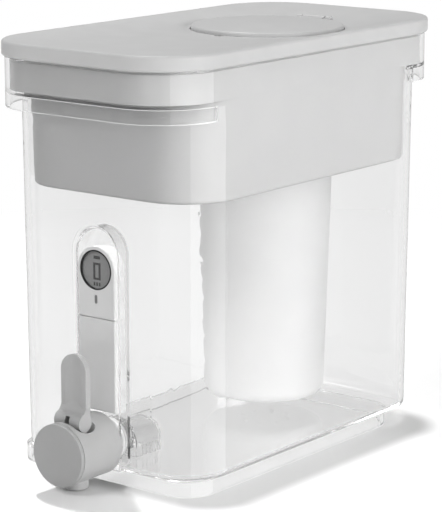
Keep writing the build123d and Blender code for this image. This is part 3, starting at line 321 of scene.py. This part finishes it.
# ---------------------------------------------------------------- kinds of material
PLASTIC_IOR = 1.49
SHADOW_TINT = 251                # grey that each face of clear plastic leaves of a lamp's light
TANK_MIDDLE = 8.226 * MM         # the tank's middle along Y
COLLAR_HALF = (78.2 * MM, 148.5 * MM)
COLLAR_CORNER = 41.0 * MM
COLLAR_SKIN = 0.4 * MM           # depth under the collar's outline that its outer face lies in
EDGE_HEIGHTS = (234.3 * MM, 243.2 * MM)   # lower edge of the grip skirts, and the shelf, where painted highlight bands lie
EDGE_HALF = 0.25 * MM            # half of a painted highlight band's height
EDGE_REACH = 106 * MM            # the skirts run from here, off the middle, round both ends
# share of white diffuse in the painted highlight bands along the collar's edges
EDGE_HIGHLIGHT_SHARE = 0.6


def new_material(name):
    """A material with one Principled shader."""
    material = bpy.data.materials.new(name)
    material.use_nodes = True
    tree = material.node_tree
    tree.nodes.clear()
    output = tree.nodes.new("ShaderNodeOutputMaterial")
    shader = tree.nodes.new("ShaderNodeBsdfPrincipled")
    tree.links.new(shader.outputs["BSDF"], output.inputs["Surface"])
    return material, tree, shader, output


def mottle(tree, shader, level, change, size):
    """Base colour that varies a little about one grey."""
    share = map_node(tree, noise(tree, size), NOISE_MIDDLE, 0.0, 1.0)
    colour = blend_greys(tree, share, level - change, level + change)
    tree.links.new(colour, shader.inputs["Base Color"])


def vary_roughness(tree, shader, pattern, low, high):
    """Roughness that follows a noise."""
    spread = map_node(tree, pattern, NOISE_MIDDLE, low, high)
    tree.links.new(spread, shader.inputs["Roughness"])


def add_bump(tree, shader, height, depth):
    """Bump of a depth in metres."""
    bump = tree.nodes.new("ShaderNodeBump")
    bump.inputs["Distance"].default_value = depth
    tree.links.new(height, bump.inputs["Height"])
    tree.links.new(bump.outputs["Normal"], shader.inputs["Normal"])


def moulded_plastic(name, level, roughness, grain=0.35 * MM, depth=0.012 * MM):
    """Opaque moulded plastic: fine even grain, a soft sheen and faint flow marks."""
    material, tree, shader, _ = new_material(name)
    mottle(tree, shader, level, change=1.6, size=18 * MM)
    vary_roughness(tree, shader, noise(tree, 9 * MM), roughness - 0.03, roughness + 0.04)
    shader.inputs["IOR"].default_value = PLASTIC_IOR
    add_bump(tree, shader, noise(tree, grain, detail=3.0), depth)
    return material


def painted_edge_highlights(tree):
    """Share of painted highlight: narrow white bands on the collar's outer face, where its rounded
    edges would catch the lamps.
    """
    place = place_in_frame(tree)
    depth = plan_distance(tree, place, (0.0, TANK_MIDDLE), COLLAR_HALF, COLLAR_CORNER)
    outer = math_node(tree, "GREATER_THAN", depth, -COLLAR_SKIN)
    axes = axes_of(tree, place)
    along = math_node(tree, "SUBTRACT", axes["Y"], TANK_MIDDLE)
    at_end = math_node(tree, "GREATER_THAN", math_node(tree, "ABSOLUTE", along), EDGE_REACH)
    skin = math_node(tree, "MULTIPLY", outer, at_end)
    bands = 0.0
    for height in EDGE_HEIGHTS:
        apart = math_node(tree, "SUBTRACT", axes["Z"], height)
        near = math_node(tree, "LESS_THAN", math_node(tree, "ABSOLUTE", apart), EDGE_HALF)
        bands = math_node(tree, "MAXIMUM", bands, near)
    return math_node(tree, "MULTIPLY", math_node(tree, "MULTIPLY", skin, bands), EDGE_HIGHLIGHT_SHARE)


def clear_plastic(name, level, roughness, painted_highlights=False):
    """Clear moulded plastic that lets lamps light what is behind it, with painted highlight bands
    along the collar's edges where asked.
    """
    material, tree, shader, output = new_material(name)
    shader.inputs["Base Color"].default_value = grey(level)
    vary_roughness(tree, shader, noise(tree, 14 * MM, detail=1.0), roughness / 2, roughness)
    shader.inputs["IOR"].default_value = PLASTIC_IOR
    shader.inputs["Transmission Weight"].default_value = 1.0
    path = tree.nodes.new("ShaderNodeLightPath")
    through = tree.nodes.new("ShaderNodeBsdfTransparent")
    through.inputs["Color"].default_value = grey(SHADOW_TINT)
    clear = math_node(tree, "MAXIMUM", path.outputs["Is Shadow Ray"], caught(tree))
    surface = blend_shaders(tree, clear, shader.outputs["BSDF"], through.outputs["BSDF"])
    if painted_highlights:
        # painted highlight: white diffuse in narrow bands along the collar's edges
        highlight_paint = tree.nodes.new("ShaderNodeBsdfDiffuse")
        highlight_paint.inputs["Color"].default_value = grey(level)
        surface = blend_shaders(tree, painted_edge_highlights(tree), surface, highlight_paint.outputs["BSDF"])
    tree.links.new(surface, output.inputs["Surface"])
    return material


def rubber(name, level):
    """Matt rubber."""
    material, tree, shader, _ = new_material(name)
    mottle(tree, shader, level, change=3.0, size=4 * MM)
    shader.inputs["Roughness"].default_value = 0.72
    shader.inputs["Specular IOR Level"].default_value = 0.35
    add_bump(tree, shader, noise(tree, 0.5 * MM), depth=0.02 * MM)
    return material


def steel(name):
    """Bright drawn steel with fine scratches."""
    material, tree, shader, _ = new_material(name)
    mottle(tree, shader, level=196, change=6.0, size=3 * MM)
    shader.inputs["Metallic"].default_value = 1.0
    vary_roughness(tree, shader, noise(tree, 0.8 * MM, detail=4.0), low=0.18, high=0.34)
    add_bump(tree, shader, noise(tree, 0.2 * MM), depth=0.004 * MM)
    return material


def granular(name, level, change, size, roughness):
    """Packed granules of one size."""
    material, tree, shader, _ = new_material(name)
    cells = tree.nodes.new("ShaderNodeTexVoronoi")
    cells.inputs["Scale"].default_value = 1 / size
    tree.links.new(place_in_frame(tree), cells.inputs["Vector"])
    distance = cells.outputs["Distance"]
    colour = blend_greys(tree, distance, level + change, level - change)
    tree.links.new(colour, shader.inputs["Base Color"])
    shader.inputs["Roughness"].default_value = roughness
    add_bump(tree, shader, math_node(tree, "SUBTRACT", 1.0, distance), depth=size / 2)
    return material


def circuit_board(name):
    """Solder-masked board with faint tracks."""
    material, tree, shader, _ = new_material(name)
    mottle(tree, shader, level=70, change=10.0, size=1.5 * MM)
    shader.inputs["Roughness"].default_value = 0.35
    shader.inputs["Coat Weight"].default_value = 0.4
    add_bump(tree, shader, noise(tree, 0.7 * MM), depth=0.02 * MM)
    return material


# ---------------------------------------------------------------- materials
# Each call gives the name, the grey from 0 to 255 and the roughness, then any grain and its depth.
# Granules have their grey, its change, their size and the roughness.
MATERIALS = {
    "clear_tank": clear_plastic("clear_tank", 249, 0.01, painted_highlights=True),
    "clear_tap": clear_plastic("clear_tap", 246, 0.04),
    "window": clear_plastic("window", 250, 0.02),
    "lid": moulded_plastic("lid", 194, 0.52),
    "door": moulded_plastic("door", 194, 0.50),
    "reservoir": moulded_plastic("reservoir", 179, 0.45),
    "meter": moulded_plastic("meter", 208, 0.48),
    "tap": moulded_plastic("tap", 174, 0.46),
    "cap": moulded_plastic("cap", 164, 0.46),
    "lever": moulded_plastic("lever", 174, 0.46),
    "filter": moulded_plastic("filter", 232, 0.38),
    "rubber": rubber("rubber", 96),
    "seal": rubber("seal", 150),
    "pale_seal": rubber("pale_seal", 222),
    "steel": steel("steel"),
    "cell": steel("cell"),
    "screen": moulded_plastic("screen", 205, 0.6, 0.6 * MM, 0.08 * MM),
    "carbon": granular("carbon", 38, 22, 1.1 * MM, 0.7),
    "resin": granular("resin", 172, 26, 0.8 * MM, 0.35),
    "foam": granular("foam", 205, 30, 0.9 * MM, 0.9),
    "board": circuit_board("board"),
    "lcd": moulded_plastic("lcd", 130, 0.35),
    "key": moulded_plastic("key", 120, 0.45),
    "black": moulded_plastic("black", 16, 0.45),
    "mark": moulded_plastic("mark", 8, 0.60),
}

FINISH = {
    "tank": "clear_tank",
    "lock_nut": "clear_tap",
    "inlet_cup": "clear_tap",
    "display_window": "window",
    "lid": "lid",
    "fill_door": "door",
    "reservoir": "reservoir",
    "filter_housing": "filter",
    "filter_cap": "filter",
    "filter_seal": "seal",
    "inlet_screen": "screen",
    "outlet_screen": "screen",
    "bed_divider": "screen",
    "resin_bed": "resin",
    "carbon_bed": "carbon",
    "distributor_foam": "foam",
    "spigot_body": "tap",
    "spigot_cap": "cap",
    "outer_gasket": "pale_seal",
    "inner_gasket": "pale_seal",
    "lever": "lever",
    "lever_pin": "steel",
    "link_pin": "steel",
    "door_pin": "steel",
    "valve_stem": "tap",
    "seat_cup": "rubber",
    "valve_bonnet": "tap",
    "stem_seal": "rubber",
    "valve_spring": "steel",
    "meter_front": "meter",
    "lower_panel": "meter",
    "meter_back": "meter",
    "battery_cover": "meter",
    "meter_button": "key",
    "meter_screws": "steel",
    "lcd_bezel": "black",
    "lcd_panel": "lcd",
    "meter_board": "board",
    "coin_cells": "cell",
    "button_pad": "rubber",
    "probe_pins": "steel",
    "probe_seals": "pale_seal",
}


def dress_nodes():
    """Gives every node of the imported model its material."""
    for name, node in nodes.items():
        node.data.materials.clear()
        node.data.materials.append(MATERIALS[FINISH[name]])


# ---------------------------------------------------------------- valve spring
def stretch_spring():
    """A copy of the valve's spring as an object of its own, with the imported spring hidden."""
    node = nodes["valve_spring"]
    coil = bpy.data.objects.new("valve_coil", node.data.copy())
    bpy.context.scene.collection.objects.link(coil)
    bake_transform(coil)
    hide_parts("valve_spring")
    return coil


# ---------------------------------------------------------------- display marks
MARK_THICKNESS = 0.04 * MM
# middle and size of each mark on the display, in millimetres across and up from its middle
DISPLAY_MARKS = [((0.0, 7.7), (5.2, 2.0)),
                 ((-2.15, -1.1), (1.7, 10.9)),
                 ((2.15, -1.1), (1.7, 10.9)),
                 ((0.0, 3.65), (2.6, 1.4)),
                 ((0.0, -5.85), (2.6, 1.4))]
# ticks under the nought, in millimetres
TICKS = 3
TICK_SIZE = (1.3, 2.3)
TICK_HEIGHT = -9.2
TICK_PITCH = 2.1
# corners of a block's face, and its six faces by corner
FACE_CORNERS = ((-1, -1), (1, -1), (1, 1), (-1, 1))
BLOCK_FACES = ((0, 1, 2, 3), (7, 6, 5, 4), (0, 4, 5, 1), (1, 5, 6, 2), (2, 6, 7, 3), (3, 7, 4, 0))


def make_marks():
    """Bar, nought and ticks that the display shows."""
    low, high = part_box("lcd_panel")
    front = low[1]
    middle = (low[2] + high[2]) / 2
    span = (TICKS - 1) / 2
    marks = DISPLAY_MARKS + [(((index - span) * TICK_PITCH, TICK_HEIGHT), TICK_SIZE)
                             for index in range(TICKS)]
    points = []
    faces = []
    for (x, z), (width, height) in marks:
        start = len(points)
        for y in (front - MARK_THICKNESS, front):
            for side, rise in FACE_CORNERS:
                points.append(((x + side * width / 2) * MM, y,
                               middle + (z + rise * height / 2) * MM))
        for face in BLOCK_FACES:
            faces.append([start + corner for corner in face])
    mesh = bpy.data.meshes.new("display_marks")
    mesh.from_pydata(points, [], faces)
    mesh.materials.append(MATERIALS["mark"])
    shown = bpy.data.objects.new("display_marks", mesh)
    bpy.context.scene.collection.objects.link(shown)
    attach(shown, "meter_body")
    return shown


# ---------------------------------------------------------------- floor
FLOOR_HALF = 6.0
FLOOR_DROP = 0.02 * MM           # gap under the foot, so that the faces don't coincide
BODY_LENGTH = 255.7 * MM         # outline of the tank's body over the foot
BODY_MIDDLE = 8.2 * MM
BODY_CORNER = 34.0 * MM
FOOT_HALF = (74.4 * MM, 112.2 * MM)   # outline of the foot ring on the floor
FOOT_MIDDLE = -5.8 * MM
FOOT_CORNER = 21.0 * MM
FLOOR_COLOUR = 0.77
FLOOR_GLOW = 0.06                # lifts the lit floor to white near the object
WHITE_SPAN = (0.45, 0.80)        # radii between which the floor turns from lit to plain white
PAINTED_SHADOW_DEPTH = 0.48                # how far the painted soft shadow beside the clear tank darkens the floor
SHADE_SHIFT = (27 * MM, -10 * MM)     # shift of the painted shadow from the tank's own outline
SHADE_EDGE = 9 * MM              # half of the painted shadow's soft edge
PAINTED_UNDER_GLOW = 0.75               # painted glow: the plain grey that the floor shows under the clear tank in place of its lit shade
PAINTED_UNDER_SHARE = 0.85               # and how much of it is that painted glow and not lit floor
BEHIND_LEVEL = 0.97              # what it shows elsewhere through clear plastic
BEHIND_SHARE = 0.80              # and how much of it is that and not lit floor


def painted_tank_shadow(tree, place, foot):
    """Painted shadow: the share of light left on the floor beside the tank, from a soft rounded
    outline shifted off the tank.
    """
    low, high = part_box("tank")
    half = ((high[0] - low[0]) / 2, BODY_LENGTH / 2)
    centre = (SHADE_SHIFT[0], BODY_MIDDLE + SHADE_SHIFT[1])
    shadow = plan_distance(tree, place, centre, half, BODY_CORNER)
    soft = map_node(tree, shadow, (-SHADE_EDGE, SHADE_EDGE), PAINTED_SHADOW_DEPTH, 0.0, smooth=True)
    beside = math_node(tree, "GREATER_THAN", foot, 0.0)
    dark = math_node(tree, "MULTIPLY", soft, beside)
    return math_node(tree, "SUBTRACT", 1.0, dark)


def lit_floor(tree, shown, shade):
    """Shader of the floor that takes light and shadow, with the painted shadow beside the tank
    multiplied into its colour and glow.
    """
    lit = tree.nodes.new("ShaderNodeBsdfDiffuse")
    colour = tree.nodes.new("ShaderNodeCombineColor")
    level = math_node(tree, "MULTIPLY", shade, FLOOR_COLOUR)
    for channel in ("Red", "Green", "Blue"):
        tree.links.new(level, colour.inputs[channel])
    tree.links.new(colour.outputs["Color"], lit.inputs["Color"])
    glow = tree.nodes.new("ShaderNodeEmission")
    strength = math_node(tree, "MULTIPLY", shown, FLOOR_GLOW)
    tree.links.new(math_node(tree, "MULTIPLY", strength, shade), glow.inputs["Strength"])
    both = tree.nodes.new("ShaderNodeAddShader")
    tree.links.new(lit.outputs["BSDF"], both.inputs[0])
    tree.links.new(glow.outputs["Emission"], both.inputs[1])
    return both.outputs["Shader"]


def plain_floor(tree, far, foot):
    """Shader of the floor that shows a plain level, and the share that it has: white far off, a
    painted grey glow under the clear tank, and a near-white level through clear plastic.
    """
    inside = math_node(tree, "LESS_THAN", foot, 0.0)
    path = tree.nodes.new("ShaderNodeLightPath")
    through = path.outputs["Is Transmission Ray"]
    # painted glow under the tank, in place of its shade
    under = math_node(tree, "MULTIPLY", inside, PAINTED_UNDER_SHARE)
    behind = math_node(tree, "MULTIPLY", through, BEHIND_SHARE)
    share = math_node(tree, "MAXIMUM", far, math_node(tree, "MAXIMUM", under, behind))
    plain = tree.nodes.new("ShaderNodeEmission")
    outside = blend_level(tree, through, 1.0, BEHIND_LEVEL)
    tree.links.new(blend_level(tree, inside, outside, PAINTED_UNDER_GLOW), plain.inputs["Strength"])
    return plain.outputs["Emission"], share


def floor_material():
    """White in full light and far off, and shaded near the object, with a painted shadow beside the
    tank and a painted grey glow under it.
    """
    material, tree, shader, output = new_material("floor")
    tree.nodes.remove(shader)
    place = place_in_frame(tree)
    radius = vector_node(tree, "LENGTH", place)
    far = map_node(tree, radius, WHITE_SPAN, 0.0, 1.0, smooth=True)
    foot = plan_distance(tree, place, (0.0, FOOT_MIDDLE), FOOT_HALF, FOOT_CORNER)
    shown = seen_directly(tree)
    # painted shadow beside the tank, carried in the lit floor's colour and glow
    near = lit_floor(tree, shown, painted_tank_shadow(tree, place, foot))
    plain, share = plain_floor(tree, far, foot)
    surface = blend_shaders(tree, math_node(tree, "MULTIPLY", shown, share), near, plain)
    tree.links.new(surface, output.inputs["Surface"])
    return material


def make_floor():
    """Pale floor that keeps the object's shadow."""
    mesh = bpy.data.meshes.new("floor")
    corners = [(x * FLOOR_HALF, y * FLOOR_HALF, -FLOOR_DROP) for x, y in FACE_CORNERS]
    mesh.from_pydata(corners, [], [(0, 1, 2, 3)])
    mesh.materials.append(floor_material())
    floor = bpy.data.objects.new("floor", mesh)
    bpy.context.scene.collection.objects.link(floor)
    floor.visible_glossy = False
    return floor


# ---------------------------------------------------------------- the scene
make_camera()
dress_nodes()
make_lamps(make_floor(), [stretch_spring(), make_marks()])
make_world()
scene = bpy.context.scene
scene.view_settings.view_transform = "Standard"
scene.cycles.max_bounces = 32
scene.cycles.transmission_bounces = 28
scene.cycles.glossy_bounces = 24
scene.cycles.transparent_max_bounces = 24
scene.cycles.caustics_reflective = False
